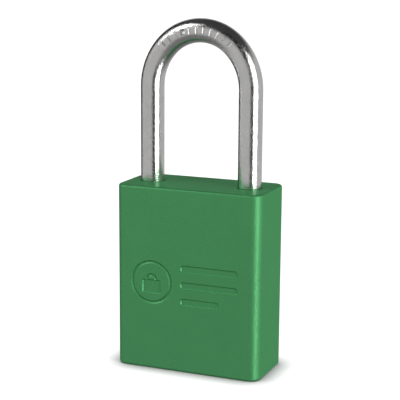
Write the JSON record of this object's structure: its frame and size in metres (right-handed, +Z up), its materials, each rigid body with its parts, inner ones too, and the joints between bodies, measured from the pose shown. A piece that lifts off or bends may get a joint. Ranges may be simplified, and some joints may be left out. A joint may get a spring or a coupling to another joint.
{
  "type": "safety padlock",
  "caption": "Lockout safety padlock: rounded rectangular anodised aluminium body, bent steel rod shackle and keyed pin-tumbler cylinder opening in the base.",
  "frame": {"origin": "middle of the base, on the plane that the padlock stands on", "axes": "+Z up out of the base towards the shackle, -Y out of the engraved front face, +X towards the toe (short) leg of the shackle"},
  "size_m": [0.0382, 0.0184, 0.087],
  "materials": {
    "anodised_body": "green anodised, satin",
    "shackle_steel": "ground and plated rod, satin to bright",
    "bearing_steel": "hardened, polished",
    "cast_actuator": "machined",
    "brass": "machined",
    "pin_brass": "turned",
    "pin_nickel_silver": "turned nickel silver",
    "spring_steel": "drawn wire"
  },
  "bodies": {
    "case": {"lock_body": "anodised_body", "cylinder_shell": "brass", "pin_chamber_cover": "brass", "retaining_screw": "bearing_steel", "shackle_spring": "spring_steel", "pin_spring_1": "spring_steel", "pin_spring_2": "spring_steel", "pin_spring_3": "spring_steel", "pin_spring_4": "spring_steel", "pin_spring_5": "spring_steel"},
    "shackle": {"shackle": "shackle_steel"},
    "key_plug": {"plug": "brass", "plug_clip": "spring_steel", "actuator": "cast_actuator"},
    "toe_ball": {"toe_ball": "bearing_steel"},
    "heel_ball": {"heel_ball": "bearing_steel"},
    "key_pin_1": {"key_pin_1": "pin_brass"},
    "driver_pin_1": {"driver_pin_1": "pin_nickel_silver"},
    "key_pin_2": {"key_pin_2": "pin_brass"},
    "driver_pin_2": {"driver_pin_2": "pin_nickel_silver"},
    "key_pin_3": {"key_pin_3": "pin_brass"},
    "driver_pin_3": {"driver_pin_3": "pin_nickel_silver"},
    "key_pin_4": {"key_pin_4": "pin_brass"},
    "driver_pin_4": {"driver_pin_4": "pin_nickel_silver"},
    "key_pin_5": {"key_pin_5": "pin_brass"},
    "driver_pin_5": {"driver_pin_5": "pin_nickel_silver"}
  },
  "joints": [
    {"name": "shackle_lift", "type": "slide", "parent": "case", "child": "shackle", "axis": [0, 0, 1], "range_m": [0, 0.0132], "deforming": ["shackle_spring"]},
    {"name": "key_turn", "type": "hinge", "parent": "case", "child": "key_plug", "pos_m": [0, 0, 0.0238], "axis": [0, 0, 1], "range_deg": [-90, 0]},
    {"name": "toe_ball_slide", "type": "slide", "parent": "case", "child": "toe_ball", "axis": [1, 0, 0], "range_m": [0, 0.0018]},
    {"name": "heel_ball_slide", "type": "slide", "parent": "case", "child": "heel_ball", "axis": [-1, 0, 0], "range_m": [0, 0.0012]},
    {"name": "key_pin_1_slide", "type": "slide", "parent": "key_plug", "child": "key_pin_1", "axis": [0, -1, 0], "range_m": [0, 0.00234]},
    {"name": "key_pin_2_slide", "type": "slide", "parent": "key_plug", "child": "key_pin_2", "axis": [0, -1, 0], "range_m": [0, 0.00114]},
    {"name": "key_pin_3_slide", "type": "slide", "parent": "key_plug", "child": "key_pin_3", "axis": [0, -1, 0], "range_m": [0, 0.00274]},
    {"name": "key_pin_4_slide", "type": "slide", "parent": "key_plug", "child": "key_pin_4", "axis": [0, -1, 0], "range_m": [0, 0.00154]},
    {"name": "key_pin_5_slide", "type": "slide", "parent": "key_plug", "child": "key_pin_5", "axis": [0, -1, 0], "range_m": [0, 0.00194]},
    {"name": "driver_pin_1_slide", "type": "slide", "parent": "case", "child": "driver_pin_1", "axis": [1, 0, 0], "range_m": [0, 0.002], "stiffness_N_per_m": 150, "springref_m": -0.003, "deforming": ["pin_spring_1"]},
    {"name": "driver_pin_2_slide", "type": "slide", "parent": "case", "child": "driver_pin_2", "axis": [1, 0, 0], "range_m": [0, 0.002], "stiffness_N_per_m": 150, "springref_m": -0.003, "deforming": ["pin_spring_2"]},
    {"name": "driver_pin_3_slide", "type": "slide", "parent": "case", "child": "driver_pin_3", "axis": [1, 0, 0], "range_m": [0, 0.002], "stiffness_N_per_m": 150, "springref_m": -0.003, "deforming": ["pin_spring_3"]},
    {"name": "driver_pin_4_slide", "type": "slide", "parent": "case", "child": "driver_pin_4", "axis": [1, 0, 0], "range_m": [0, 0.002], "stiffness_N_per_m": 150, "springref_m": -0.003, "deforming": ["pin_spring_4"]},
    {"name": "driver_pin_5_slide", "type": "slide", "parent": "case", "child": "driver_pin_5", "axis": [1, 0, 0], "range_m": [0, 0.002], "stiffness_N_per_m": 150, "springref_m": -0.003, "deforming": ["pin_spring_5"]}
  ],
  "couplings": [
    {"joint": "toe_ball_slide", "follows": "key_turn", "m_per_rad": -0.0011459},
    {"joint": "heel_ball_slide", "follows": "key_turn", "m_per_rad": -0.00076394}
  ]
}
